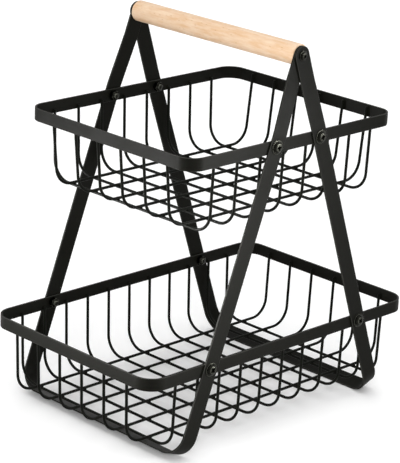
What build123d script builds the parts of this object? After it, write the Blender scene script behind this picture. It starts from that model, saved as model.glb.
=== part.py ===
from build123d import *
import math
import os

# Tiered wire basket. Two welded wire baskets hang between two leg frames of
# bent flat steel, which meet at the ends of a beech handle. X runs along the
# baskets, Y along the handle, and the origin is on the floor below the middle.
# Lengths are in millimetres.

# Rims: flat steel bands with round corners, one above the other
rim_width = 252.0
lower_rim_length = 400.0
upper_rim_length = 310.0
lower_rim_corner_radius = 22.0
upper_rim_corner_radius = 19.5
band_height = 14.0
band_thickness = 2.0
tier_spacing = 226.0

# Basket wires: cross wires run along Y, and long wires lie on them along X.
# Each bend is turned in a few equal steps, and the wire has eight sides.
wire_diameter = 3.2
wire_sides = 8
wire_bend_radius = 22.0
wire_bend_steps = 5
wire_lean_in = 2.5
upper_long_wire_lean_in = 8.0
lower_basket_depth = 87.0
upper_basket_depth = 86.0
long_wire_count = 6
lower_cross_wire_count = 11
upper_cross_wire_count = 8
long_wire_margin = 38.5
lower_cross_wire_margin = 40.0
upper_cross_wire_margin = 36.0
lower_weld_lap = 4.5
upper_weld_lap = 4.5
upper_long_wire_extra_lap = 3.5

# Leg frames: each is one strip bent to a U, leaning from its foot to the apex
strip_width = 20.0
strip_thickness = 2.0
foot_bend_radius = 25.0
set_in_bend_radius = 40.0
set_in_clearance = 1.0
foot_gap = 6.7

# Rim screws pass through a leg and a rim, between two wires of the basket
lower_screw_bay_count = 3.5
upper_screw_bay_count = 1
lower_screw_shift = 3.0
upper_screw_shift = -0.8
rim_screw_diameter = 6.0
rim_screw_collar_diameter = 15.5
rim_screw_dome_diameter = 12.0
rim_screw_head_height = 3.6
rim_screw_recess_span = 7.6
rim_screw_tip = 1.8
rim_hole_clearance = 0.2
nut_across_flats = 10.0
nut_thickness = 5.0

# Handle: a beech dowel that turns on one screw at each end
dowel_diameter = 23.0
dowel_chamfer = 0.8
handle_end_gap = 0.3
handle_screw_diameter = 5.0
handle_screw_collar_diameter = 12.5
handle_screw_dome_diameter = 9.5
handle_screw_head_height = 3.0
handle_screw_recess_span = 6.4
handle_screw_grip = 28.0
handle_hole_clearance = 0.25

# Screw heads, and the sides of every fastener's round stretches
fastener_sides = 12
collar_thickness = 1.0
dome_width_shares = (1.0, 0.86, 0.55)
dome_height_shares = (0.0, 0.6, 1.0)
recess_wing = 1.6
recess_depth = 1.8
recess_taper_degrees = 8.0

# How far a cut runs past what it cuts
overrun = 5.0

# Positions worked out from the sizes above
wire_radius = wire_diameter / 2
rim_half_width = rim_width / 2
lower_pitch = (lower_rim_length - 2 * lower_cross_wire_margin) / (lower_cross_wire_count - 1)
upper_pitch = (upper_rim_length - 2 * upper_cross_wire_margin) / (upper_cross_wire_count - 1)
long_wire_pitch = (rim_width - 2 * long_wire_margin) / (long_wire_count - 1)
lower_screw_x = lower_screw_bay_count * lower_pitch + lower_screw_shift
upper_screw_x = upper_screw_bay_count * upper_pitch + upper_screw_shift
leg_lean = math.atan((lower_screw_x - upper_screw_x) / tier_spacing)
crossbar_top = strip_width * math.sin(leg_lean) + strip_thickness * math.cos(leg_lean)
lower_rim_top = crossbar_top + foot_gap + wire_radius + lower_basket_depth
upper_rim_top = lower_rim_top + tier_spacing
lower_screw_height = lower_rim_top - band_height / 2
upper_screw_height = upper_rim_top - band_height / 2
apex_height = upper_screw_height + upper_screw_x / math.tan(leg_lean)

# Across the baskets: at the apex the right strip is set in by one thickness,
# the left strip by two, so it lies inside the right one, next to the handle
leg_face = rim_half_width + strip_thickness
right_apex_face = leg_face - strip_thickness
left_apex_face = right_apex_face - strip_thickness
dowel_end = left_apex_face - strip_thickness - handle_end_gap
handle_screw_seat = right_apex_face + handle_end_gap


def row(count, pitch):
    """Places of count things, evenly spaced about zero."""
    return [(number - (count - 1) / 2) * pitch for number in range(count)]


def across(radius, length):
    """A round bar along Y, centred on the origin."""
    return Rot(90, 0, 0) * Cylinder(radius, length)


def rim(length, corner_radius, top, screw_x):
    """A flat band bent to a ring, with four holes for the rim screws."""
    inside = RectangleRounded(
        length - 2 * band_thickness,
        rim_width - 2 * band_thickness,
        corner_radius - band_thickness,
    )
    outline = RectangleRounded(length, rim_width, corner_radius) - inside
    band = Pos(0, 0, top - band_height) * extrude(outline, band_height)
    for x in (-screw_x, screw_x):
        hole = across(rim_screw_diameter / 2 + rim_hole_clearance, rim_width + overrun)
        band -= Pos(x, 0, top - band_height / 2) * hole
    return band


def bent_wire(length, top, floor, lean_in):
    """A wire bent to a U along X: down, across the basket's floor, and up.

    length is the rim's. The ends touch the band's inner face, and the sides
    lean in towards the floor by lean_in. top and floor are heights of the wire's
    middle.
    """
    side_lean = math.atan(lean_in / (top - floor))
    reach = length / 2 - band_thickness - wire_radius * math.cos(side_lean)
    turn = math.pi / 2 - side_lean
    step = turn / wire_bend_steps
    bend_x = reach - lean_in - wire_bend_radius * math.tan(turn / 2)
    corner_radius = wire_bend_radius / math.cos(step / 2)
    right = []
    for number in range(wire_bend_steps):
        angle = (number + 0.5) * step
        x = bend_x + corner_radius * math.sin(angle)
        z = floor + wire_bend_radius - corner_radius * math.cos(angle)
        right.append((x, 0, z))
    right.append((reach, 0, top))
    left = [(-x, 0, z) for x, _, z in reversed(right)]
    route = Polyline(*left, *right)
    half_side = 180 / wire_sides
    octagon = RegularPolygon(wire_radius, wire_sides, major_radius=False, rotation=half_side)
    section = Plane(origin=route @ 0, x_dir=(0, 1, 0), z_dir=route % 0) * octagon
    return sweep(section, path=route, transition=Transition.RIGHT)


def basket_wires(name, length, rim_top, depth, cross_places, cross_lap, long_lap, long_lean_in):
    """The wires of one basket, by node name. The long wires lie on the cross wires."""
    rim_bottom = rim_top - band_height
    cross_floor = rim_top - depth
    long_floor = cross_floor + wire_diameter
    cross_wire = Rot(0, 0, 90) * bent_wire(rim_width, rim_bottom + cross_lap, cross_floor, wire_lean_in)
    long_wire = bent_wire(length, rim_bottom + long_lap, long_floor, long_lean_in)
    wires = {}
    for number, x in enumerate(cross_places, start=1):
        wires[f"{name}_cross_wire_{number}"] = Pos(x, 0, 0) * cross_wire
    for number, y in enumerate(row(long_wire_count, long_wire_pitch), start=1):
        wires[f"{name}_long_wire_{number}"] = Pos(0, y, 0) * long_wire
    return wires


def leg_frame(side, apex_face):
    """One strip bent to a U: front leg, crossbar and back leg.

    side is -1 for the frame whose foot is at -X and 1 for the other. The bends
    are square to the leaning legs, so the crossbar lies tilted and stands on its
    inner edge. apex_face is how far its outer face is from the middle at the apex.
    """
    down = Vector(side * math.sin(leg_lean), 0, -math.cos(leg_lean))
    edge_on = Plane(origin=(0, 0, apex_height), x_dir=down, z_dir=down.cross(Vector(0, 1, 0)))
    half_strip = strip_width / 2

    # Distances down the leg from the apex: where the two strips part, where this
    # one reaches the upper rim, and the crossbar's outer face
    flat_end = half_strip / math.tan(leg_lean) + set_in_clearance
    rim_distance = (apex_height - upper_rim_top) / math.cos(leg_lean)
    spread_end = rim_distance - half_strip * math.tan(leg_lean) - set_in_clearance
    foot = (apex_height - half_strip * math.sin(leg_lean)) / math.cos(leg_lean)

    front = [
        (-half_strip, -apex_face),
        (flat_end, -apex_face),
        (spread_end, -leg_face),
        (foot, -leg_face),
    ]
    back = [(distance, -face) for distance, face in reversed(front)]
    bend_radii = [set_in_bend_radius, set_in_bend_radius, foot_bend_radius]
    outer_face = FilletPolyline(*front, *back, radius=bend_radii + bend_radii[::-1])
    outline = offset(outer_face, strip_thickness, side=Side.LEFT, closed=True)
    strip = extrude(edge_on * make_face(outline.edges()), half_strip, both=True)

    # Full-round ends at the apex
    face_on = Plane(origin=(0, 0, apex_height), x_dir=down, z_dir=(0, side, 0))
    square_end = Rectangle(half_strip + overrun, strip_width + overrun, align=(Align.MAX, Align.CENTER))
    corners = square_end - Circle(half_strip)
    strip -= extrude(face_on * corners, leg_face + overrun, both=True)

    # Holes for the handle's screws and the rim screws
    drill_length = 2 * (leg_face + overrun)
    pivot_hole = across(handle_screw_diameter / 2 + handle_hole_clearance, drill_length)
    rim_hole = across(rim_screw_diameter / 2 + rim_hole_clearance, drill_length)
    strip -= Pos(0, 0, apex_height) * pivot_hole
    strip -= Pos(side * upper_screw_x, 0, upper_screw_height) * rim_hole
    strip -= Pos(side * lower_screw_x, 0, lower_screw_height) * rim_hole
    return strip


def round_section(diameter):
    """The many-sided section of a fastener's round stretch."""
    return RegularPolygon(diameter / 2, fastener_sides)


def screw(collar_diameter, dome_diameter, head_height, recess_span, diameter, length):
    """A cross-recess screw with a collar under a domed head.

    It stands on its own axis along Z. The collar's underside is at zero and the
    shank hangs below it.
    """
    dome_height = head_height - collar_thickness
    collar = extrude(round_section(collar_diameter), collar_thickness)
    rings = [
        Pos(0, 0, collar_thickness + high * dome_height) * round_section(wide * dome_diameter)
        for wide, high in zip(dome_width_shares, dome_height_shares)
    ]
    wings = Rectangle(recess_span, recess_wing) + Rectangle(recess_wing, recess_span)
    recess = extrude(Pos(0, 0, head_height) * wings, -recess_depth, taper=recess_taper_degrees)
    shank = extrude(round_section(diameter), -length)
    return collar + loft(rings, ruled=True) - recess + shank


def nut():
    """A hexagon nut that hangs below its seat at zero."""
    hexagon = RegularPolygon(nut_across_flats / 2, 6, major_radius=False)
    return extrude(hexagon - round_section(rim_screw_diameter), -nut_thickness)


def outward(face_y):
    """Turn and move a fastener so that it points away from the middle at y = face_y."""
    turn = 90 if face_y < 0 else -90
    return Pos(0, face_y, 0) * Rot(turn, 0, 0)


def rim_fasteners(fastener, seat_y):
    """Eight like fasteners, one for each leg and rim, seated at y = -seat_y and seat_y."""
    group = []
    for screw_x, height in ((lower_screw_x, lower_screw_height), (upper_screw_x, upper_screw_height)):
        for x in (-screw_x, screw_x):
            for y in (-seat_y, seat_y):
                group.append(Pos(x, 0, height) * outward(y) * fastener)
    return Compound(children=group)


def handle_dowel():
    """The beech dowel, with a hole in each end for its screw."""
    dowel = across(dowel_diameter / 2, 2 * dowel_end)
    dowel = chamfer(dowel.edges().filter_by(GeomType.CIRCLE), dowel_chamfer)
    hole = extrude(round_section(handle_screw_diameter), -handle_screw_grip)
    for y in (-dowel_end, dowel_end):
        dowel -= outward(y) * hole
    return Pos(0, 0, apex_height) * dowel


def handle_screws():
    """One screw through both strips into each end of the dowel."""
    one = screw(
        handle_screw_collar_diameter,
        handle_screw_dome_diameter,
        handle_screw_head_height,
        handle_screw_recess_span,
        handle_screw_diameter,
        handle_screw_seat - dowel_end + handle_screw_grip,
    )
    seats = (-handle_screw_seat, handle_screw_seat)
    return Compound(children=[Pos(0, 0, apex_height) * outward(y) * one for y in seats])


rim_screw = screw(
    rim_screw_collar_diameter,
    rim_screw_dome_diameter,
    rim_screw_head_height,
    rim_screw_recess_span,
    rim_screw_diameter,
    strip_thickness + band_thickness + nut_thickness + rim_screw_tip,
)

nodes = {
    "left_leg_frame": leg_frame(-1, left_apex_face),
    "right_leg_frame": leg_frame(1, right_apex_face),
    "lower_rim": rim(lower_rim_length, lower_rim_corner_radius, lower_rim_top, lower_screw_x),
    "upper_rim": rim(upper_rim_length, upper_rim_corner_radius, upper_rim_top, upper_screw_x),
    "rim_screws": rim_fasteners(rim_screw, leg_face),
    "rim_nuts": rim_fasteners(nut(), rim_half_width - band_thickness),
    "handle_dowel": handle_dowel(),
    "handle_screws": handle_screws(),
}
nodes |= basket_wires(
    "lower",
    lower_rim_length,
    lower_rim_top,
    lower_basket_depth,
    row(lower_cross_wire_count, lower_pitch),
    lower_weld_lap,
    lower_weld_lap + wire_diameter,
    wire_lean_in,
)
nodes |= basket_wires(
    "upper",
    upper_rim_length,
    upper_rim_top,
    upper_basket_depth,
    row(upper_cross_wire_count, upper_pitch),
    upper_weld_lap,
    upper_weld_lap + wire_diameter + upper_long_wire_extra_lap,
    upper_long_wire_lean_in,
)

os.makedirs("parts", exist_ok=True)
for name, piece in nodes.items():
    export_step(piece, f"parts/{name}.step")
print(f"legs lean {math.degrees(leg_lean):.2f} degrees, apex at {apex_height:.1f} mm")
print(f"rim tops at {lower_rim_top:.1f} and {upper_rim_top:.1f} mm")
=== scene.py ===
# %% [markdown]
# # A tiered wire basket, dressed for a product picture
#
# The frame holds the exact solids of the basket: two steel rims, thirty-one bent wires, two leg
# frames, a beech handle and its fasteners. This lesson makes the pieces that show, in the way
# that a workshop makes the real ones: strip is cut, rounded, drilled and bent, wire is bent to a
# U, screws and the handle are turned. Then each gets the finish of its real material.
#
# The first step loads the frame, and a helper reads the box of any of its parts.

# %% Load the frame
import cmath
import math
import random

import bmesh
import bpy
from mathutils import Matrix, Vector


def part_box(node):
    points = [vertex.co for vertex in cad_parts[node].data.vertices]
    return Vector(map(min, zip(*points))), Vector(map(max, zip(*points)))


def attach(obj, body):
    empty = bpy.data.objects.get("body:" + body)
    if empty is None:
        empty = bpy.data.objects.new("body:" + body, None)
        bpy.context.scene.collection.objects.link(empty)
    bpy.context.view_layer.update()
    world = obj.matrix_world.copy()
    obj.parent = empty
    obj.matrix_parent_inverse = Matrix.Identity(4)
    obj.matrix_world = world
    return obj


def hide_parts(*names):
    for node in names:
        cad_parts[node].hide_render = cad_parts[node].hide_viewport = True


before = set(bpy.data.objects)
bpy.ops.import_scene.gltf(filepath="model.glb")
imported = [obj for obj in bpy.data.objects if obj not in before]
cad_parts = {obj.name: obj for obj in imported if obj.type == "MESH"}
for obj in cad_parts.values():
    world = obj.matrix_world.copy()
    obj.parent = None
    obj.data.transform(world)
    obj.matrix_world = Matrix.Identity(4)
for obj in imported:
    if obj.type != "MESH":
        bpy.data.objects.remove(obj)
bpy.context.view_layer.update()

# %% [markdown]
# ## The camera
#
# A photograph fixes its own camera: the edges of the rims and legs run to vanishing points that
# only one place, direction and focal length can give. Those numbers were worked out from the
# picture. The camera stands 2.3 m off at the left front, looks down by about 19 degrees and is
# rolled by 2.6 degrees. Its focal length is given in pixels of the 400 pixel wide picture, and a
# small shift moves the picture's middle to where the real lens had it.
#
# The camera, the lamps and all pieces get into the scene in the same way, so one function does it.

# %% The camera
def add_object(name, data):
    """Adds an object with this mesh, lamp or camera to the scene."""
    thing = bpy.data.objects.new(name, data)
    bpy.context.scene.collection.objects.link(thing)
    return thing


picture_width = 400
focal_pixels = 2115.5
camera_data = bpy.data.cameras.new("photo_camera")
camera_data.sensor_fit = "HORIZONTAL"
camera_data.sensor_width = 36.0
camera_data.lens = camera_data.sensor_width * focal_pixels / picture_width
camera_data.shift_x = -2.286 / picture_width
camera_data.shift_y = 0.504 / picture_width
camera = add_object("photo_camera", camera_data)
camera_place = Vector((-1.56850, -1.55025, 0.93467))
camera_aim = Vector((-0.00795, 0.0, 0.19090))
facing = (camera_aim - camera_place).to_track_quat("-Z", "Y").to_matrix().to_4x4()
roll = Matrix.Rotation(math.radians(2.579), 4, "Z")
camera.matrix_world = Matrix.Translation(camera_place) @ facing @ roll
bpy.context.scene.camera = camera
print("focal length in mm:", round(camera_data.lens, 1))

# %% [markdown]
# ## Helpers for every material
#
# Colours are easiest to compare with a photograph as sRGB hex values, but shaders work with
# linear light, so one function turns the first into the second. Another adds a node and gives it
# its settings and inputs, so that each material reads as a list of steps.

# %% Colour and node helpers
def colour(code):
    """The linear colour of an sRGB hex value such as F0CDA5."""
    channels = [int(code[n:n + 2], 16) / 255 for n in (0, 2, 4)]
    linear = [c / 12.92 if c <= 0.04045 else ((c + 0.055) / 1.055) ** 2.4 for c in channels]
    return (*linear, 1.0)


def fill(tree, node, inputs):
    """Fills a node's inputs, each with a plain value or with a link from another node's output."""
    for name, value in inputs.items():
        if isinstance(value, bpy.types.NodeSocket):
            tree.links.new(value, node.inputs[name])
        else:
            node.inputs[name].default_value = value


def add_node(tree, kind, settings, inputs):
    """Adds a node with its settings and inputs."""
    node = tree.nodes.new(kind)
    for name, value in settings.items():
        setattr(node, name, value)
    fill(tree, node, inputs)
    return node


def new_material(name):
    """An empty material: its node tree and its shader."""
    material = bpy.data.materials.new(name)
    material.use_nodes = True
    material.node_tree.nodes.clear()
    tree = material.node_tree
    shader = add_node(tree, "ShaderNodeBsdfPrincipled", {}, {})
    add_node(tree, "ShaderNodeOutputMaterial", {}, {"Surface": shader.outputs["BSDF"]})
    return material, tree, shader


print("white is", colour("FFFFFF"))

# %% [markdown]
# ## Powder-coated steel
#
# The strips, bands and wires are mild steel with a matte black powder coat. The powder is
# sprayed on dry and baked, and it flows out into a skin about 0.08 mm thick with a soft orange
# peel: low waves 1 to 2 mm across. That skin is a plastic, so it isn't metallic and its IOR is
# near 1.5. Its matting agent swallows most of the reflection, so the specular level is low: a
# face turned to a lamp comes out dark grey, and one turned away stays nearly black. The coat lies
# thinner on a round wire than on flat steel, so the wires get a smoother version, and a darker
# one as painted shade. On rounded edges the colour is much lighter: a little of that is wear,
# where the skin pulls thin and hands polish it, and most is a painted highlight. The mesh marks
# each face of those edges with a value called edge_wear_and_highlight.

# %% Powder-coated steel
def powder_coat(name, dark, light, peel_height):
    """Matte black powder coat. peel_height is the height of the orange peel, in metres."""
    material, tree, shader = new_material(name)
    place = add_node(tree, "ShaderNodeTexCoord", {}, {}).outputs["Object"]

    # Waves 1.6 mm apart: a noise of scale 1 has waves about one metre apart
    peel = add_node(tree, "ShaderNodeTexNoise", {}, {
        "Vector": place, "Scale": 1 / 0.0016, "Detail": 2.0, "Roughness": 0.5,
    })
    # Patches about 25 mm across, where the coat came out slightly thicker
    patches = add_node(tree, "ShaderNodeTexNoise", {}, {
        "Vector": place, "Scale": 1 / 0.025, "Detail": 3.0, "Roughness": 0.6,
    })
    edge = add_node(tree, "ShaderNodeAttribute", {"attribute_name": "edge_wear_and_highlight"}, {})

    coat = add_node(tree, "ShaderNodeMix", {"data_type": "RGBA"}, {
        "Factor": patches.outputs["Fac"], "A": colour(dark), "B": colour(light),
    })
    speckled = add_node(tree, "ShaderNodeMix", {"data_type": "RGBA", "blend_type": "OVERLAY"}, {
        "Factor": 0.35, "A": coat.outputs["Result"], "B": peel.outputs["Color"],
    })
    # Rounded edges turn a much lighter grey: a little of it is wear, most is a painted highlight
    edge_wear_and_highlight_share = add_node(tree, "ShaderNodeMath", {"operation": "MULTIPLY"}, {
        0: edge.outputs["Fac"], 1: patches.outputs["Fac"],
    })
    coat_with_edge_highlight = add_node(tree, "ShaderNodeMix", {"data_type": "RGBA"}, {
        "Factor": edge_wear_and_highlight_share.outputs["Value"], "A": speckled.outputs["Result"], "B": colour("4E4E4A"),
    })
    roughness = add_node(tree, "ShaderNodeMapRange", {}, {
        "Value": patches.outputs["Fac"], "From Min": 0.3, "From Max": 0.7,
        "To Min": 0.42, "To Max": 0.54,
    })
    polished = add_node(tree, "ShaderNodeMath", {"operation": "MULTIPLY_ADD"}, {
        0: edge.outputs["Fac"], 1: -0.12, 2: roughness.outputs["Result"],
    })
    bump = add_node(tree, "ShaderNodeBump", {}, {
        "Height": peel.outputs["Fac"], "Strength": 0.6, "Distance": peel_height,
    })
    fill(tree, shader, {
        "Base Color": coat_with_edge_highlight.outputs["Result"], "Roughness": polished.outputs["Value"],
        "Normal": bump.outputs["Normal"], "IOR": 1.5, "Specular IOR Level": 0.05,
    })
    return material


powder_coated_steel = powder_coat("powder_coated_steel", "0A0A07", "13130F", 0.00008)
# The wires and welds get a darker copy of the coat: the darker colour is painted shade, the finer
# peel is the thinner coat
powder_coated_wire_painted_darker = powder_coat("powder_coated_wire_painted_darker", "080906", "0F100C", 0.00004)
print("materials so far:", [m.name for m in (powder_coated_steel, powder_coated_wire_painted_darker)])

# %% [markdown]
# ## Blackened screws
#
# The screws and nuts are zinc-plated steel, blackened in a bath. That is a metal with a dark
# thin skin, so it is metallic, and smoother than the powder coat beside it. Where the skin is
# whole it is nearly black. Grey metal shows on edges that stand out and on the tips, partly
# where a driver or a finger has rubbed the skin off and partly as painted highlight, and the
# recesses and hollows are kept black as painted shade. The mesh says where, with a value from
# 0 to 1 on each face called wear_and_painted_light. The bath also stains unevenly, which shows
# as a slow change of tone and gloss a few millimetres wide.

# %% Blackened steel
blackened_steel, tree, shader = new_material("blackened_steel")
place = add_node(tree, "ShaderNodeTexCoord", {}, {}).outputs["Object"]
# Stains about 3 mm wide
stain = add_node(tree, "ShaderNodeTexNoise", {}, {
    "Vector": place, "Scale": 1 / 0.003, "Detail": 4.0, "Roughness": 0.6,
})
polished = add_node(tree, "ShaderNodeMix", {"data_type": "RGBA"}, {
    "Factor": stain.outputs["Fac"], "A": colour("56574F"), "B": colour("74756B"),
})
# Grey metal where the mark is high, partly wear and partly painted highlight; black where it is 0,
# partly painted shade
wear_and_painted_light = add_node(tree, "ShaderNodeAttribute", {"attribute_name": "wear_and_painted_light"}, {})
wear_and_light_tone = add_node(tree, "ShaderNodeMix", {"data_type": "RGBA"}, {
    "Factor": wear_and_painted_light.outputs["Fac"], "A": colour("040402"), "B": polished.outputs["Result"],
})
gloss = add_node(tree, "ShaderNodeMapRange", {}, {
    "Value": stain.outputs["Fac"], "From Min": 0.3, "From Max": 0.7, "To Min": 0.20, "To Max": 0.32,
})
bump = add_node(tree, "ShaderNodeBump", {}, {
    "Height": stain.outputs["Fac"], "Strength": 0.3, "Distance": 0.00003,
})
fill(tree, shader, {
    "Base Color": wear_and_light_tone.outputs["Result"], "Roughness": gloss.outputs["Result"],
    "Normal": bump.outputs["Normal"], "Metallic": 1.0,
})
print("blackened steel has", len(tree.nodes), "nodes")

# %% [markdown]
# ## Beech
#
# The handle is a beech dowel, turned and sanded along the grain. Beech is pale and pinkish, with
# a soft mottle of cream and tan that is drawn out along the handle. Its growth rings, 2 to 3 mm
# wide, are faint, because the blank is sawn along the trunk. Its mark is the fleck: short brown
# dashes, 1 to 5 mm long and under half a millimetre wide, all running along the grain. The
# flecks are drawn 0.9 mm wide here, because a real one is finer than a pixel. A thin coat of oil
# leaves it silky, not glossy.

# %% Beech
beech, tree, shader = new_material("beech")
place = add_node(tree, "ShaderNodeTexCoord", {}, {}).outputs["Object"]

# Three noises drawn out along the grain: the waves in a metre by axis, detail and roughness
grain = {}
for name, waves, detail, roughness in (
    # Slow waves that bend the rings, about 70 mm across and 330 mm along
    ("sway", (14, 3, 14), 2.0, 0.4),
    # Fibres 0.5 mm across and 25 mm along
    ("fibre", (2000, 40, 2000), 2.0, 0.6),
    # Mottle: patches about 5 mm across and 22 mm along
    ("mottle", (200, 45, 200), 3.0, 0.55),
):
    stretched = add_node(tree, "ShaderNodeMapping", {}, {"Vector": place, "Scale": waves})
    noise = add_node(tree, "ShaderNodeTexNoise", {}, {
        "Vector": stretched.outputs["Vector"], "Scale": 1.0,
        "Detail": detail, "Roughness": roughness,
    })
    grain[name] = noise.outputs["Fac"]

# The trunk's middle lies 54 mm to the side of the handle's
from_pith = add_node(tree, "ShaderNodeMapping", {}, {
    "Vector": place, "Location": (0.03, 0, 0.045), "Scale": (1, 0, 1),
})
ring_radius = add_node(tree, "ShaderNodeVectorMath", {"operation": "LENGTH"}, {
    0: from_pith.outputs["Vector"],
})
bent_radius = add_node(tree, "ShaderNodeMath", {"operation": "MULTIPLY_ADD"}, {
    0: grain["sway"], 1: 0.012, 2: ring_radius.outputs["Value"],
})
# Rings 2.6 mm apart: each one darkens slowly, then drops back at once
ring_count = add_node(tree, "ShaderNodeMath", {"operation": "DIVIDE"}, {
    0: bent_radius.outputs["Value"], 1: 0.0026,
})
ring = add_node(tree, "ShaderNodeMath", {"operation": "FRACT"}, {0: ring_count.outputs["Value"]})

mottled = add_node(tree, "ShaderNodeMapRange", {}, {
    "Value": grain["mottle"], "From Min": 0.34, "From Max": 0.66,
})
ground = add_node(tree, "ShaderNodeMix", {"data_type": "RGBA"}, {
    "Factor": mottled.outputs["Result"], "A": colour("E6CCB0"), "B": colour("D9B28A"),
})
ring_strength = add_node(tree, "ShaderNodeMath", {"operation": "MULTIPLY"}, {
    0: ring.outputs["Value"], 1: 0.16,
})
ringed = add_node(tree, "ShaderNodeMix", {"data_type": "RGBA"}, {
    "Factor": ring_strength.outputs["Value"], "A": ground.outputs["Result"], "B": colour("D1A781"),
})
fibred = add_node(tree, "ShaderNodeMix", {"data_type": "RGBA", "blend_type": "SOFT_LIGHT"}, {
    "Factor": 0.3, "A": ringed.outputs["Result"], "B": grain["fibre"],
})
# Flecks: cells 2.4 mm across and 8 mm along, and two in five have a dash at their middle
fleck_place = add_node(tree, "ShaderNodeMapping", {}, {"Vector": place, "Scale": (420, 125, 420)})
fleck = add_node(tree, "ShaderNodeTexVoronoi", {}, {
    "Vector": fleck_place.outputs["Vector"], "Scale": 1.0, "Randomness": 1.0,
})
dash = add_node(tree, "ShaderNodeMapRange", {}, {
    "Value": fleck.outputs["Distance"], "From Min": 0.10, "From Max": 0.22,
    "To Min": 0.45, "To Max": 0.0,
})
chosen = add_node(tree, "ShaderNodeMath", {"operation": "GREATER_THAN"}, {
    0: fleck.outputs["Color"], 1: 0.55,
})
dash_strength = add_node(tree, "ShaderNodeMath", {"operation": "MULTIPLY"}, {
    0: dash.outputs["Result"], 1: chosen.outputs["Value"],
})
flecked = add_node(tree, "ShaderNodeMix", {"data_type": "RGBA"}, {
    "Factor": dash_strength.outputs["Value"], "A": fibred.outputs["Result"], "B": colour("A9743F"),
})
silk = add_node(tree, "ShaderNodeMapRange", {}, {
    "Value": grain["fibre"], "From Min": 0.3, "From Max": 0.7, "To Min": 0.42, "To Max": 0.56,
})
bump = add_node(tree, "ShaderNodeBump", {}, {
    "Height": grain["fibre"], "Strength": 0.25, "Distance": 0.00006,
})
fill(tree, shader, {
    "Base Color": flecked.outputs["Result"], "Roughness": silk.outputs["Result"],
    "Normal": bump.outputs["Normal"], "IOR": 1.5,
})
print("beech has", len(tree.nodes), "nodes")

# %% [markdown]
# ## The basket's sizes
#
# All pieces are drawn in millimetres and turned to metres when their mesh is made. The sizes of
# the flat steel and the wire are typed in here, and how far each screw sits from the middle. The
# other places come from the frame: the box of each node tells how high a rim hangs, how wide it
# is and where the handle is.

# %% Sizes and places
MM = 0.001


def box_mm(node):
    """The lowest and highest corner of a node of the frame, in millimetres."""
    low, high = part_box(node)
    return low / MM, high / MM


def middle_mm(node):
    """The x and y of the middle of a node of the frame, in millimetres."""
    low, high = box_mm(node)
    return (low.x + high.x) / 2, (low.y + high.y) / 2


tiers = ("lower", "upper")
strip_width = 20.0
strip_thickness = 2.0
band_height = 14.0
wire_diameter = 3.2
wire_radius = wire_diameter / 2
edge_radius = 0.5

rim_low, rim_high = {}, {}
for tier in tiers:
    rim_low[tier], rim_high[tier] = box_mm(f"{tier}_rim")
handle_low, handle_high = box_mm("handle_dowel")
apex_height = (handle_low.z + handle_high.z) / 2
# Distances from the middle: the rims' outer face, the legs' outer face and the rims' inner face
rim_half_width = rim_high["lower"].y
leg_face = rim_half_width + strip_thickness
inner_face = rim_half_width - strip_thickness

# The screws' heights and distances from the middle, and the legs' lean that joins them
screw_height = {tier: rim_high[tier].z - band_height / 2 for tier in tiers}
screw_x = {"lower": 115.0, "upper": 33.2}
tier_step = screw_height["upper"] - screw_height["lower"]
lean = math.atan((screw_x["lower"] - screw_x["upper"]) / tier_step)
print("legs lean by", round(math.degrees(lean), 2), "degrees")
print("the handle is", round(apex_height, 1), "mm up")

# %% [markdown]
# ## One way to make every skin
#
# A bent strip, a wire, a screw head and a dowel are all the same thing to a mesh: rows of
# points, one after the other, with faces stretched between them. One function does that. Where
# a row shrinks to a single point, as at the middle of a dome, its points are merged, and the
# faces that had no area go with them. Two more functions run a modifier on a mesh and cut holes
# with Blender's exact boolean, as a drill would.

# %% Skins and holes
def skin(name, rows, ends):
    """A mesh over rows of points in millimetres. ends is joined, capped or open."""
    same_place = 0.002 * MM
    size = len(rows[0])
    points = [tuple(value * MM for value in point) for row in rows for point in row]
    faces = []
    for number in range(len(rows) if ends == "joined" else len(rows) - 1):
        here = number * size
        there = (number + 1) % len(rows) * size
        for n in range(size):
            m = (n + 1) % size
            faces.append((here + n, here + m, there + m, there + n))
    if ends == "capped":
        faces.append(tuple(range(size)))
        faces.append(tuple(range(len(points) - size, len(points))))
    mesh = bpy.data.meshes.new(name)
    mesh.from_pydata(points, [], faces)
    shape = bmesh.new()
    shape.from_mesh(mesh)
    bmesh.ops.remove_doubles(shape, verts=shape.verts, dist=same_place)
    bmesh.ops.recalc_face_normals(shape, faces=shape.faces)
    shape.to_mesh(mesh)
    shape.free()
    return mesh


def after(mesh, kind, settings):
    """The mesh as one modifier leaves it."""
    stock = add_object("stock", mesh)
    modifier = stock.modifiers.new("step", kind)
    for name, value in settings.items():
        setattr(modifier, name, value)
    state = bpy.context.evaluated_depsgraph_get()
    result = bpy.data.meshes.new_from_object(
        stock.evaluated_get(state), preserve_all_data_layers=True, depsgraph=state)
    result.name = mesh.name
    bpy.data.objects.remove(stock)
    return result


def cut(mesh, tool):
    """A copy of a mesh with another mesh cut out of it."""
    cutter = add_object("cutter", tool)
    settings = {"operation": "DIFFERENCE", "solver": "EXACT", "object": cutter}
    result = after(mesh, "BOOLEAN", settings)
    bpy.data.objects.remove(cutter)
    return result


def round_angles(sides):
    """The angles of equal steps once round."""
    return [2 * math.pi * n / sides for n in range(sides)]


def turned_rows(profile, sides):
    """Rows of points round Z, one for each (radius, height) of a profile."""
    angles = round_angles(sides)
    rows = []
    for radius, height in profile:
        rows.append([(radius * math.cos(a), radius * math.sin(a), height) for a in angles])
    return rows


def turned(name, profile, sides):
    """A mesh turned about Z from a profile of (radius, height) points."""
    return skin(name, turned_rows(profile, sides), "open")


def shaded(mesh):
    """Shades a mesh smooth, with its corners of more than 40 degrees kept sharp."""
    mesh.shade_smooth()
    mesh.set_sharp_from_angle(angle=math.radians(40))
    return mesh


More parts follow.
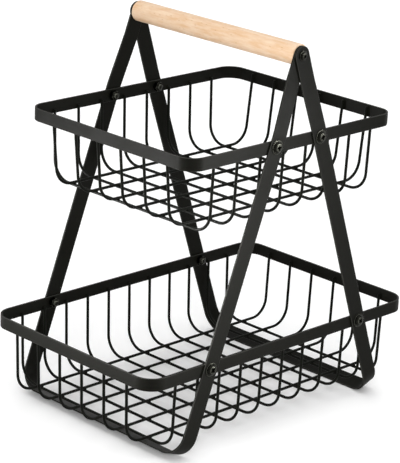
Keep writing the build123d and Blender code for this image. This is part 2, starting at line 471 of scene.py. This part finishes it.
def show(name, mesh, material, node, body="frame", matrix=None):
    """Puts a mesh into the scene as a piece. It stands for a node of the frame, or for none."""
    if not mesh.materials:
        mesh.materials.append(material)
    piece = add_object(name, mesh)
    if matrix is not None:
        piece.matrix_world = matrix
    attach(piece, body)
    if node:
        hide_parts(node)
    return piece


print("helpers ready")

# %% [markdown]
# ## Bending steel on paper
#
# Rims and legs are both flat strip bent on edge rollers, so both start as a line of straight
# runs and arcs, seen from above or from the side. Python's complex numbers suit flat lines:
# a place is x + y*1j, a heading has length 1, and multiplying by 1j turns it to the left. All
# lines here turn left overall, so left is always the inside of the bend.

# %% Bent lines
# Degrees from one row of points to the next round a bend
strip_step = 5
wire_step = 6


def bent_line(corners, radii):
    """The straight runs and arcs through corners, as (length, start, heading, radius).

    An arc's radius is positive where it turns left, and a straight run's is zero.
    """
    runs = []
    start = corners[0]
    for previous, corner, following, radius in zip(corners, corners[1:], corners[2:], radii):
        heading = (corner - previous) / abs(corner - previous)
        next_heading = (following - corner) / abs(following - corner)
        turn = cmath.phase(next_heading / heading)
        tangent = radius * math.tan(abs(turn) / 2)
        arc_start = corner - heading * tangent
        runs.append((abs(arc_start - start), start, heading, 0.0))
        runs.append((radius * abs(turn), arc_start, heading, math.copysign(radius, turn)))
        start = corner + next_heading * tangent
    runs.append((abs(corners[-1] - start), start, next_heading, 0.0))
    return runs


def along(run, distance):
    """The place and heading at a distance along one run."""
    start, heading, radius = run[1:]
    if radius == 0:
        return start + heading * distance, heading
    swing = cmath.exp(1j * distance / radius)
    centre = start + 1j * heading * radius
    return centre - 1j * heading * radius * swing, heading * swing


def marks(runs, step_degrees):
    """Places and headings along the runs: the ends of each run, and steps round each arc."""
    found = [along(runs[0], 0.0)]
    for run in runs:
        length, radius = run[0], run[3]
        steps = 1
        if radius:
            steps = max(2, math.ceil(math.degrees(length / abs(radius)) / step_degrees))
        found += [along(run, length * (n + 1) / steps) for n in range(steps)]
    return found


quarter_bend = bent_line([0, 50, 50 + 50j], [20])
print("a quarter bend of wire has", len(marks(quarter_bend, wire_step)), "marks")

# %% [markdown]
# ## The strip's rounded edges
#
# Rolled flat steel never has sharp edges, and the powder coat rounds them more. The fine light
# line along each edge comes partly from there and partly from a painted highlight on the round
# faces. The section is a rectangle whose four corners are small arcs. Each of its points is told
# by how far in it lies from the side and how deep it lies from the outer face, so the same list
# serves every width.
#
# Smooth shading alone would let a round edge darken the whole flat beside it. Weighted normals
# stop that: large faces keep their own direction and the small ones bend to meet them. The
# second function does this, and then marks how far round an edge each face lies. The third
# stands a row of section points at each mark of a bent line, turned to face out.

# %% Strip section
def strip_section(thickness):
    """The section's points as (side, distance in from that side, depth from the outer face)."""
    steps = 4
    swing = [math.pi / 2 * n / steps for n in range(steps + 1)]
    corner = [(edge_radius * (1 - math.sin(a)), edge_radius * (1 - math.cos(a))) for a in swing]
    points = [(-1, inward, depth) for inward, depth in corner]
    points += [(-1, inward, thickness - depth) for inward, depth in reversed(corner)]
    points += [(1, inward, thickness - depth) for inward, depth in corner]
    points += [(1, inward, depth) for inward, depth in reversed(corner)]
    return points


def flat_steel(mesh, tilt):
    """Shades flats flat between round edges, and marks the edges for wear and a painted highlight.

    tilt tells how far a small face is turned from the strip's face to its side. The mark is 1
    halfway round an edge and 0 on the flats.
    """
    mesh = after(shaded(mesh), "WEIGHTED_NORMAL", {"keep_sharp": True})
    values = []
    for face in mesh.polygons:
        part = min(1.0, abs(tilt(face)))
        values.append(2 * part * math.sqrt(1 - part * part))
    mesh.attributes.new("edge_wear_and_highlight", "FLOAT", "FACE").data.foreach_set("value", values)
    return mesh


section = strip_section(strip_thickness)


def strip_rows(line, half_width, middle):
    """A row of section points at each place of a line. middle is how high the strip's middle is."""
    rows = []
    for place, heading in line:
        row = []
        for side, inward, depth in section:
            spot = place + 1j * heading * depth
            row.append((spot.real, spot.imag, middle + side * (half_width - inward)))
        rows.append(row)
    return rows


print("the section has", len(section), "points")

# %% [markdown]
# ## The rims
#
# Each rim is a 14 by 2 mm band, bent at four corners and butt-welded to a ring. Seen from
# above, its outer face is a rectangle with round corners. The last row of points is joined to the
# first. Then the four holes are drilled for the rim screws.

# %% Rims
rim_corner_radius = {"lower": 22.0, "upper": 19.5}
screw_hole_radius = 3.2


def drilled(mesh, holes):
    """The mesh with holes along Y. Each hole is (x, height, radius)."""
    for x, height, radius in holes:
        reach = leg_face + 10
        profile = [(0, -reach), (radius, -reach), (radius, reach), (0, reach)]
        drill = turned("drill", profile, sides=48)
        place = Matrix.Translation((x * MM, 0, height * MM))
        drill.transform(place @ Matrix.Rotation(math.pi / 2, 4, "X"))
        mesh = cut(mesh, drill)
    return mesh


def rim_mesh(tier):
    """The band of one rim."""
    half_length = rim_high[tier].x
    half_width = rim_high[tier].y
    corners = [
        complex(0, half_width),
        complex(-half_length, half_width),
        complex(-half_length, -half_width),
        complex(half_length, -half_width),
        complex(half_length, half_width),
        complex(0, half_width),
    ]
    line = marks(bent_line(corners, [rim_corner_radius[tier]] * 4), strip_step)
    rows = strip_rows(line[:-1], band_height / 2, screw_height[tier])
    mesh = skin(f"{tier}_band", rows, "joined")
    holes = [(x, screw_height[tier], screw_hole_radius) for x in (-screw_x[tier], screw_x[tier])]
    return flat_steel(drilled(mesh, holes), lambda face: face.normal.z)


for tier in tiers:
    band = show(f"{tier}_band", rim_mesh(tier), powder_coated_steel, f"{tier}_rim")
    print(band.name, "has", len(band.data.polygons), "faces")

# %% [markdown]
# ## The leg frames
#
# A leg frame is one 20 by 2 mm strip: front leg, crossbar and back leg. Its line is drawn in the
# leaning plane, as distance down from the handle and place along Y. Near the handle the strips
# step inwards, the right one by one thickness and the left one by two, so that they cross flat
# on each other. The ends are full half circles, so the last rows of points swing round the
# handle's screw instead of following the line. Then the strip is drilled like the rims.

# %% Leg frames
foot_bend_radius = 25.0
set_in_bend_radius = 40.0
pivot_hole_radius = 2.75
half_strip = strip_width / 2


def leg_line(apex_face):
    """The outer face's line for a leg frame, in its own leaning plane."""
    clearance = 1.0
    crossing = half_strip / math.tan(lean) + clearance
    to_rim = (apex_height - rim_high["upper"].z) / math.cos(lean)
    spread = to_rim - half_strip * math.tan(lean) - clearance
    foot = (apex_height - half_strip * math.sin(lean)) / math.cos(lean)
    front = [
        complex(0, -apex_face),
        complex(crossing, -apex_face),
        complex(spread, -leg_face),
        complex(foot, -leg_face),
    ]
    back = [place.conjugate() for place in reversed(front)]
    bends = [set_in_bend_radius, set_in_bend_radius, foot_bend_radius]
    return bent_line(front + back, bends + bends[::-1])


def leg_rows(apex_face):
    """Rows of (distance down, y, place across the strip) for a whole leg frame."""
    quarter_steps = 12
    front_end = []
    for n in range(quarter_steps):
        angle = math.pi / 2 * n / quarter_steps
        row = []
        for side, inward, depth in section:
            radius = half_strip - inward
            down = -radius * math.cos(angle)
            row.append((down, -apex_face + depth, side * radius * math.sin(angle)))
        front_end.append(row)
    middle = strip_rows(marks(leg_line(apex_face), strip_step), half_strip, 0.0)
    back_end = [[(down, -y, across) for down, y, across in row] for row in reversed(front_end)]
    return front_end + middle + back_end


def leg_mesh(name, side, apex_face):
    """A leg frame. side is -1 where its foot is at -X and 1 for the other."""
    down_step = Vector((side * math.sin(lean), 0, -math.cos(lean)))
    across_step = Vector((math.cos(lean), 0, side * math.sin(lean)))
    top = Vector((0, 0, apex_height))
    rows = []
    for row in leg_rows(apex_face):
        spots = []
        for down, y, across in row:
            spots.append(tuple(top + down_step * down + Vector((0, y, 0)) + across_step * across))
        rows.append(spots)
    mesh = drilled(skin(name, rows, "open"), [
        (0, apex_height, pivot_hole_radius),
        (side * screw_x["upper"], screw_height["upper"], screw_hole_radius),
        (side * screw_x["lower"], screw_height["lower"], screw_hole_radius),
    ])

    def tilt(face):
        """Round the half-circle ends the strip's side turns, so there its face tells the tilt."""
        at_end = (face.center / MM - top).dot(down_step) < 0
        return face.normal.y if at_end else face.normal.dot(across_step)

    return flat_steel(mesh, tilt)


for name, side, steps_in in (("right", 1, 1), ("left", -1, 2)):
    mesh = leg_mesh(f"{name}_leg_strip", side, leg_face - steps_in * strip_thickness)
    strip = show(f"{name}_leg_strip", mesh, powder_coated_steel, f"{name}_leg_frame")
    print(strip.name, "has", len(strip.data.polygons), "faces")

# %% [markdown]
# ## The basket wires
#
# Every wire of a basket is one round 3 mm wire, 3.2 mm with its coat, bent to a U. Its sides lean
# in by 2.5 mm from rim to floor, or by 8 mm at the ends of the upper basket, and its two bends
# have a radius of 22 mm at the wire's middle. The cross wires run along Y, and the long wires lie
# on top of them along X. All wires of a kind are the same, so each kind is made once and its mesh
# is used again. The cut ends get a small chamfer.

# %% Basket wires
wire_bend_radius = 22.0
wire_lean_in = 2.5
upper_long_wire_lean_in = 8.0
wire_sides = 16


def wire_nodes(tier, kind):
    """The names of a basket's cross wires or long wires in the frame."""
    return sorted(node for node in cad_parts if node.startswith(f"{tier}_{kind}_wire"))


def wire_mesh(name, reach, top, floor, lean_in):
    """A U of wire along X. reach is half its span. All sizes are those of the wire's middle."""
    corners = [
        complex(-reach, top),
        complex(-reach + lean_in, floor),
        complex(reach - lean_in, floor),
        complex(reach, top),
    ]
    line = marks(bent_line(corners, [wire_bend_radius] * 2), wire_step)
    chamfer = 0.35
    (start, first_heading), (end, last_heading) = line[0], line[-1]
    line.insert(1, (start + first_heading * chamfer, first_heading))
    line.insert(-1, (end - last_heading * chamfer, last_heading))
    radii = [wire_radius] * len(line)
    radii[0] = radii[-1] = wire_radius - chamfer
    rows = []
    for (place, heading), radius in zip(line, radii):
        row = []
        for angle in round_angles(wire_sides):
            spot = place + 1j * heading * radius * math.cos(angle)
            row.append((spot.real, radius * math.sin(angle), spot.imag))
        rows.append(row)
    return shaded(skin(name, rows, "capped"))


def show_wires(tier, kind, mesh, turn):
    """Shows one mesh at the place of every wire of its kind."""
    nodes = wire_nodes(tier, kind)
    for node in nodes:
        x, y = middle_mm(node)
        place = Matrix.Translation((x * MM, y * MM, 0))
        matrix = place @ Matrix.Rotation(math.radians(turn), 4, "Z")
        show(f"round_{node}", mesh, powder_coated_wire_painted_darker, node, matrix=matrix)
    return nodes


for tier in tiers:
    for kind, turn in (("cross", 90), ("long", 0)):
        low, high = box_mm(f"{tier}_{kind}_wire_1")
        outside = high.y if kind == "cross" else high.x
        lean_in = upper_long_wire_lean_in if (tier, kind) == ("upper", "long") else wire_lean_in
        reach = outside - wire_radius
        mesh = wire_mesh(f"{tier}_{kind}_wire", reach, high.z, low.z + wire_radius, lean_in)
        print(tier, kind, "wires:", len(show_wires(tier, kind, mesh, turn)))

# %% [markdown]
# ## The screws
#
# A rim screw has a thin collar, a domed flank and a flat boss on top with a cross recess. In the
# photograph the collar's edge and the boss's edge show as two grey rings, and the flank between
# them is black, like the recess. Here the grey rings are partly wear and partly painted highlight,
# and the black flank, recess and collar side are painted shade. The head is turned from a profile,
# and the recess is cut by a cross-shaped tool whose wings narrow towards the bottom, like a
# screwdriver's tip. Then each face is marked with how much grey metal it shows, for wear and for
# painted light. All rim screws are one mesh. Each is turned by its own angle, as the driver left
# it.

# %% Screws
def rounded(centre_radius, centre_height, radius, start, end, steps):
    """Profile points on an arc, from start to end degrees."""
    angles = [math.radians(start + (end - start) * n / steps) for n in range(steps + 1)]
    return [
        (centre_radius + radius * math.cos(a), centre_height + radius * math.sin(a)) for a in angles
    ]


def head_profile(collar_radius, dome_radius, boss_radius, head_height, shank_radius):
    """The profile of a collar, a dome and the flat boss on it, from the shank to the middle."""
    collar_top = 1.0
    edge = 0.35
    collar_edge = 0.55
    boss_step = 0.4
    dome_steps = 8
    points = [(shank_radius, 0.0)]
    points += rounded(collar_radius - edge, edge, edge, -90, 0, 4)
    points += rounded(collar_radius - collar_edge, collar_top - collar_edge, collar_edge, 0, 90, 5)
    rise = head_height - boss_step - collar_top
    for n in range(dome_steps + 1):
        angle = math.pi / 2 * n / dome_steps
        radius = boss_radius + (dome_radius - boss_radius) * math.cos(angle)
        points.append((radius, collar_top + rise * math.sin(angle)))
    points += rounded(boss_radius - edge, head_height - edge, edge, 0, 90, 4)
    points.append((0.0, head_height))
    return points


def mark_wear_and_light(mesh, rule):
    """Marks each face with how much grey metal it shows, from 0 to 1: wear and painted light."""
    values = [rule(face) for face in mesh.polygons]
    mesh.attributes.new("wear_and_painted_light", "FLOAT", "FACE").data.foreach_set("value", values)
    return mesh


def cross_cutter(span, head_height):
    """A cross-shaped tool: wide above the head and narrow at its tip."""
    # Three levels: the share of the full span, and the depth below the head's top
    levels = ((1.12, -0.6), (1.0, 0.4), (0.42, 2.2))
    rows = []
    for share, depth in levels:
        height = head_height - depth
        reach = span / 2 * share
        wing = span / 6 * (0.5 + 0.5 * share)
        inner = wing * 1.2
        arm = [(reach, -wing), (reach, wing), (inner, wing), (wing, inner)]
        row = []
        for number in range(4):
            swing = 1j ** number
            for x, y in arm:
                spot = complex(x, y) * swing
                row.append((spot.real, spot.imag, height))
        rows.append(row)
    return skin("cross_tool", rows, "capped")


def thread_rows(radius, start, end, sides):
    """Rows of a screw thread from start to end. It fades in at its start and out at its end."""
    pitch = 1.0
    depth = 0.45
    rows_per_turn = 8
    rows = []
    steps = math.ceil(abs(end - start) / pitch * rows_per_turn)
    for n in range(steps + 1):
        height = start + (end - start) * n / steps
        fade = min(1.0, 2.5 * n / steps) * min(1.0, 4 * (steps - n) / steps)
        row = []
        for m, angle in enumerate(round_angles(sides)):
            wave = abs(((height / pitch - m / sides) % 1) * 2 - 1)
            here = radius - depth * fade * wave
            row.append((here * math.cos(angle), here * math.sin(angle), height))
        rows.append(row)
    return rows


def screw_mesh(name, collar_radius, dome_radius, boss_radius, head_height, shank_radius, length,
               thread_length, wear_and_highlight):
    """A whole screw that stands on its own axis, with its collar's underside at zero."""
    sides = 64
    tip_length = 0.5
    profile = head_profile(collar_radius, dome_radius, boss_radius, head_height, shank_radius)
    rows = turned_rows(reversed(profile), sides)
    rows += thread_rows(shank_radius, -(length - thread_length), -(length - tip_length), sides)
    rows += turned_rows([
        (shank_radius - 0.1, -length + tip_length / 2),
        (shank_radius - tip_length, -length),
        (0.0, -length),
    ], sides)
    mesh = shaded(cut(skin(name, rows, "open"), cross_cutter(boss_radius * 1.5, head_height)))
    # Where the tip, the boss and the collar change from an edge to a flat or a side
    tip_start = 0.45 - length
    tip_flat = shank_radius - 0.7
    boss_flat = boss_radius - 0.4
    boss_top = head_height - 0.05
    collar_side = 0.75
    collar_flat = collar_radius - 0.5

    def rule(face):
        """Wear and painted highlight on thread, tip and raised edges; painted shade on flank and
        recess.
        """
        radius = math.hypot(face.center.x, face.center.y) / MM
        height = face.center.z / MM
        # The tip's side and chamfer are grey, painted highlight and wear; its flat end stays dark
        if height < tip_start:
            return 0.1 if radius < tip_flat else 1.0
        if height < 0:
            return 0.9
        # The boss's top is a little grey, wear and painted highlight; the recess in it is black,
        # painted shade
        if radius < boss_flat:
            return 0.25 * wear_and_highlight if height > boss_top else 0.0
        # The boss's edge is a grey ring, partly wear and mostly painted highlight
        if radius < boss_radius + 0.02:
            return 0.7 * wear_and_highlight
        # The flank is nearly black: painted shade
        if radius < dome_radius:
            return 0.07
        # The collar's side is black: a painted shadow where it meets the strip
        if height < collar_side:
            return 0.0
        # The collar's edge is a grey ring, partly wear and mostly painted highlight; its flat is a
        # little grey
        return (0.36 if radius > collar_flat else 0.12) * wear_and_highlight

    return mark_wear_and_light(mesh, rule)


def outward(x, face_y, height, spin):
    """The place of a fastener that points away from the middle at y = face_y."""
    turn = math.radians(90 if face_y < 0 else -90)
    place = Matrix.Translation((x * MM, face_y * MM, height * MM))
    return place @ Matrix.Rotation(turn, 4, "X") @ Matrix.Rotation(math.radians(spin), 4, "Z")


def rim_places(face_y):
    """The (x, y, height) of all eight rim screws, on faces at this distance from the middle."""
    places = []
    for tier in tiers:
        for x in (-screw_x[tier], screw_x[tier]):
            for y in (-face_y, face_y):
                places.append((x, y, screw_height[tier]))
    return places


rim_screw = screw_mesh(
    "rim_screw", collar_radius=7.75, dome_radius=6.0, boss_radius=4.0, head_height=3.6,
    shank_radius=3.0, length=10.8, thread_length=7.0, wear_and_highlight=1.0)
# Degrees by which each cross is turned, given one by one for the screws that the photograph shows
spins = (35, 10, 60, 75, 5, 25, 15, 50)
for number, (place, spin) in enumerate(zip(rim_places(leg_face), spins), start=1):
    show(f"rim_screw_{number}", rim_screw, blackened_steel, "rim_screws",
         matrix=outward(*place, spin))
print("rim screws:", number, "with", len(rim_screw.polygons), "faces each")

# %% [markdown]
# ## The nuts
#
# Inside the rim sits a hexagon nut, 10 mm across its flats. A real nut's corners are turned off
# at 30 degrees, which leaves a curved line on each flat. Going round the nut in small steps, the
# outline is the hexagon's own distance from the middle, and the height falls away wherever that
# distance passes the turned circle. The same rule on both faces gives all the curved lines.

# %% Nuts
def nut_mesh(across_flats, thickness, bore_radius):
    """A hexagon nut that hangs below its seat at zero. Its turned corners are a little grey, wear
    and painted highlight.
    """
    circle = across_flats / 2 * 0.97
    slope = math.tan(math.radians(30))
    mouth = 0.5
    columns = []
    for angle in round_angles(72):
        off_flat = (angle + math.pi / 6) % (math.pi / 3) - math.pi / 6
        outline = across_flats / 2 / math.cos(off_flat)
        drop = (outline - circle) * slope
        upper = [(bore_radius, -mouth), (bore_radius + mouth, 0.0), (circle, 0.0), (outline, -drop)]
        stops = upper + [(r, -thickness - height) for r, height in reversed(upper)]
        columns.append([(r * math.cos(angle), r * math.sin(angle), height) for r, height in stops])
    mesh = shaded(skin("rim_nut", list(zip(*columns)), "joined"))
    # The turned corners are lighter, partly wear and partly painted highlight; flats and faces stay
    # near black
    return mark_wear_and_light(mesh, lambda face: 0.3 if 0.3 < abs(face.normal.z) < 0.95 else 0.05)


rim_nut = nut_mesh(across_flats=10.0, thickness=5.0, bore_radius=2.8)
random.seed(7)
for number, place in enumerate(rim_places(inner_face), start=1):
    matrix = outward(*place, random.uniform(0, 60))
    show(f"rim_nut_{number}", rim_nut, blackened_steel, "rim_nuts",
         matrix=matrix)
print("nuts:", number, "with", len(rim_nut.polygons), "faces each")

# %% [markdown]
# ## The handle
#
# The dowel is turned from beech, 23 mm thick, with its ends eased to about 1 mm and a pilot hole
# in each for the screw. Its two screws are of the same kind as the rim's, with smaller heads and
# longer shanks. The dowel turns with them in the leg frames' holes, so all three belong to the
# body called handle. The mesh is made about the dowel's own axis: the grain then starts from the
# wood's middle, and it stays with the wood when the handle turns.

# %% Handle
dowel_radius = (handle_high.z - handle_low.z) / 2
dowel_end = handle_high.y


def dowel_mesh():
    """The dowel along Z, with a blind hole in each end."""
    ease = 1.0
    hole_depth = 28.0
    hole_radius = 2.5
    mouth = 0.4
    half = [(0.0, dowel_end - hole_depth), (hole_radius, dowel_end - hole_depth)]
    half += [(hole_radius, dowel_end - mouth), (hole_radius + mouth, dowel_end)]
    half += rounded(dowel_radius - ease, dowel_end - ease, ease, 90, 0, 6)
    profile = half + [(radius, -height) for radius, height in reversed(half)]
    return turned("beech_dowel", profile, sides=96)


on_axis = Matrix.Translation((0, 0, apex_height * MM))
mesh = shaded(dowel_mesh())
mesh.transform(Matrix.Rotation(math.pi / 2, 4, "X"))
show("beech_dowel", mesh, beech, "handle_dowel", body="handle", matrix=on_axis)

# The collars stand 0.3 mm off the outer strips, so that the handle turns freely
handle_seat = 126.3
depth_in_wood = 27.5
# Its screws show half the grey of the rim screws: less wear and less painted highlight
handle_screw = screw_mesh(
    "handle_screw", collar_radius=5.6, dome_radius=4.3, boss_radius=3.0, head_height=3.0,
    shank_radius=2.5, length=handle_seat - dowel_end + depth_in_wood, thread_length=24.0, wear_and_highlight=0.5)
for number, face_y in enumerate((-handle_seat, handle_seat), start=1):
    matrix = outward(0, face_y, apex_height, 20 + 30 * number)
    show(f"handle_screw_{number}", handle_screw, blackened_steel, "handle_screws",
         body="handle", matrix=matrix)
print("dowel from", round(handle_low.y, 1), "to", round(handle_high.y, 1), "mm")
print("its screws have", len(handle_screw.polygons), "faces each")

# %% [markdown]
# ## The welds
#
# Where wires cross, the welding current melts them together and squeezes out a small collar of
# steel, and each wire's end is welded to the band with a short bead on both sides. The powder
# coat covers them, so they show as soft swellings. A weld is a flattened, slightly uneven drop.
# All welds of one basket are one mesh.

# %% Welds
# Half sizes of the drops. A bead ends a little inside both ends of the wire's lap on the band
crossing_drop = (2.2, 2.2, 1.0)
bead_half_length = 2.3
bead_half_depth = 0.9
bead_inset = 0.4


def weld_rows(centre, half_sizes):
    """Rows of points for one drop of weld, a little uneven."""
    rows = []
    steps = 6
    sides = 12
    lumps = [random.uniform(0.92, 1.08) for n in range(sides)]
    for m in range(steps + 1):
        tilt = math.pi * m / steps - math.pi / 2
        row = []
        for lump, angle in zip(lumps, round_angles(sides)):
            wide = math.cos(tilt) * lump
            row.append((
                centre[0] + half_sizes[0] * wide * math.cos(angle),
                centre[1] + half_sizes[1] * wide * math.sin(angle),
                centre[2] + half_sizes[2] * math.sin(tilt),
            ))
        rows.append(row)
    return rows


def weld_meshes(tier):
    """Every weld of one basket: the crossings on the floor, and the wires' ends at the rim."""
    shape = bmesh.new()
    rim_bottom = rim_low[tier].z
    drops = []
    for node in wire_nodes(tier, "cross"):
        low, high = box_mm(node)
        x = middle_mm(node)[0]
        for other in wire_nodes(tier, "long"):
            y = middle_mm(other)[1]
            drops.append(((x, y, low.z + wire_diameter), crossing_drop))
        half_lap = (high.z - rim_bottom) / 2
        bead = (bead_half_length, bead_half_depth, half_lap - bead_inset)
        for y in (-inner_face, inner_face):
            drops.append(((x, y, rim_bottom + half_lap), bead))
    for node in wire_nodes(tier, "long"):
        high = box_mm(node)[1]
        y = middle_mm(node)[1]
        half_lap = (high.z - rim_bottom) / 2
        bead = (bead_half_depth, bead_half_length, half_lap - bead_inset)
        for x in (-high.x, high.x):
            drops.append(((x, y, rim_bottom + half_lap), bead))
    for centre, half_sizes in drops:
        shape.from_mesh(skin("drop", weld_rows(centre, half_sizes), "open"))
    mesh = bpy.data.meshes.new(f"{tier}_welds")
    shape.to_mesh(mesh)
    shape.free()
    return shaded(mesh), len(drops)


for tier in tiers:
    mesh, count = weld_meshes(tier)
    show(f"{tier}_welds", mesh, powder_coated_wire_painted_darker, None)
    print(tier, "welds:", count)

# %% [markdown]
# ## The studio
#
# The photograph was taken on a white table, and four soft lights explain what it shows:
#
# - A very wide one overhead. It lights the handle's top and gives the shadow without streaks
#   that is dense under the basket and gone a few centimetres outside it.
# - A narrower one on the camera's side, which fills the faces that look at the camera.
#   Reflections don't see it, because it would turn the black steel grey.
# - Two small ones left and right of the camera's line, level with the baskets. Each has a grid
#   that keeps its light in a narrow beam. They give the outer faces of rims and legs their sheen
#   and leave the inner faces dark.
#
# The world adds an even fill. The floor is a pale sheet with a faint glow of its own for the
# camera and reflections. The glow is weakest between the feet and full 45 mm outside them, so
# the sheet turns clean white around the basket and keeps its shadow under it. What the camera,
# a reflection or glass sees of the world is plain white too.

# %% Studio floor and light
def seen_directly(tree):
    """An output that is 1 for what the camera, a reflection or glass sees, and 0 for light."""
    rays = add_node(tree, "ShaderNodeLightPath", {}, {})
    seen = rays.outputs["Is Camera Ray"]
    for kind in ("Is Glossy Ray", "Is Transmission Ray"):
        either = add_node(tree, "ShaderNodeMath", {"operation": "MAXIMUM"}, {
            0: seen, 1: rays.outputs[kind],
        })
        seen = either.outputs["Value"]
    return seen


def studio_floor():
    """A large pale floor, which the basket stands on."""
    half_side = 12.0
    mesh = bpy.data.meshes.new("studio_floor")
    signs = ((-1, -1), (1, -1), (1, 1), (-1, 1))
    corners = [(x * half_side, y * half_side, 0) for x, y in signs]
    mesh.from_pydata(corners, [], [(0, 1, 2, 3)])
    material, tree, shader = new_material("studio_floor")
    place = add_node(tree, "ShaderNodeTexCoord", {}, {}).outputs["Object"]
    cloud = add_node(tree, "ShaderNodeTexNoise", {}, {"Vector": place, "Scale": 3.0, "Detail": 1.0})
    tone = add_node(tree, "ShaderNodeMix", {"data_type": "RGBA"}, {
        "Factor": cloud.outputs["Fac"], "A": colour("F8F8F8"), "B": colour("FBFBFB"),
    })
    # How far a place lies outside the rectangle between the feet, in metres
    feet_corner = (0.146, 0.105, 0)
    from_middle = add_node(tree, "ShaderNodeVectorMath", {"operation": "ABSOLUTE"}, {0: place})
    past_feet = add_node(tree, "ShaderNodeVectorMath", {"operation": "SUBTRACT"}, {
        0: from_middle.outputs["Vector"], 1: feet_corner,
    })
    outside = add_node(tree, "ShaderNodeVectorMath", {"operation": "MAXIMUM"}, {
        0: past_feet.outputs["Vector"], 1: (0, 0, 0),
    })
    distance = add_node(tree, "ShaderNodeVectorMath", {"operation": "LENGTH"}, {
        0: outside.outputs["Vector"],
    })
    glow = add_node(tree, "ShaderNodeMapRange", {"interpolation_type": "SMOOTHSTEP"}, {
        "Value": distance.outputs["Value"], "From Max": 0.045, "To Min": 0.018, "To Max": 0.16,
    })
    lift = add_node(tree, "ShaderNodeMath", {"operation": "MULTIPLY"}, {
        0: seen_directly(tree), 1: glow.outputs["Result"],
    })
    fill(tree, shader, {
        "Base Color": tone.outputs["Result"], "Roughness": 0.9, "Specular IOR Level": 0.1,
        "Emission Color": (1, 1, 1, 1), "Emission Strength": lift.outputs["Value"],
    })
    mesh.materials.append(material)
    add_object("studio_floor", mesh)


def studio_world():
    """An even soft light, plain white where it is seen directly."""
    world = bpy.data.worlds.new("studio_world")
    world.use_nodes = True
    tree = world.node_tree
    tree.nodes.clear()
    strength = add_node(tree, "ShaderNodeMapRange", {}, {
        "Value": seen_directly(tree), "To Min": 0.27, "To Max": 1.0,
    })
    light = add_node(tree, "ShaderNodeBackground", {}, {
        "Color": (1, 1, 1, 1), "Strength": strength.outputs["Result"],
    })
    add_node(tree, "ShaderNodeOutputWorld", {}, {"Surface": light.outputs["Background"]})
    bpy.context.scene.world = world


def far_softbox(name, towards, energy, angle, glossy):
    """A soft light far off that looks angle degrees wide. Reflections see it if glossy is true."""
    lamp = bpy.data.lights.new(name, "SUN")
    lamp.energy = energy
    lamp.angle = math.radians(angle)
    holder = add_object(name, lamp)
    holder.matrix_world = Vector(towards).to_track_quat("Z", "Y").to_matrix().to_4x4()
    holder.visible_glossy = glossy


def side_softbox(name, side, energy, width, height, grid, forward, up):
    """A softbox with a grid, left (1) or right (-1) of the line from the camera to the basket.

    forward and up, in metres, place it towards the camera and above the floor.
    """
    off_line = 1.1
    lamp = bpy.data.lights.new(name, "AREA")
    lamp.shape = "RECTANGLE"
    lamp.size = width
    lamp.size_y = height
    lamp.spread = math.radians(grid)
    lamp.energy = energy
    holder = add_object(name, lamp)
    to_camera = Vector((camera_place.x, camera_place.y, 0)).normalized()
    sideways = Vector((to_camera.y, -to_camera.x, 0)) * side
    place = to_camera * forward + sideways * off_line + Vector((0, 0, up))
    turn = sideways.to_track_quat("Z", "Y").to_matrix().to_4x4()
    holder.matrix_world = Matrix.Translation(place) @ turn
    holder.visible_camera = False


studio_floor()
studio_world()
far_softbox("overhead_softbox", towards=(0.12, -0.02, 1.0), energy=1.7, angle=70, glossy=True)
far_softbox("front_softbox", towards=(-0.7, -0.7, 0.3), energy=2.35, angle=40, glossy=False)
side_softbox("left_softbox", side=1, energy=2.0, width=0.6, height=0.16, grid=20,
             forward=0.33, up=0.195)
side_softbox("right_softbox", side=-1, energy=1.45, width=0.45, height=0.3, grid=25,
             forward=0.36, up=0.24)
bpy.context.scene.view_settings.view_transform = "Standard"
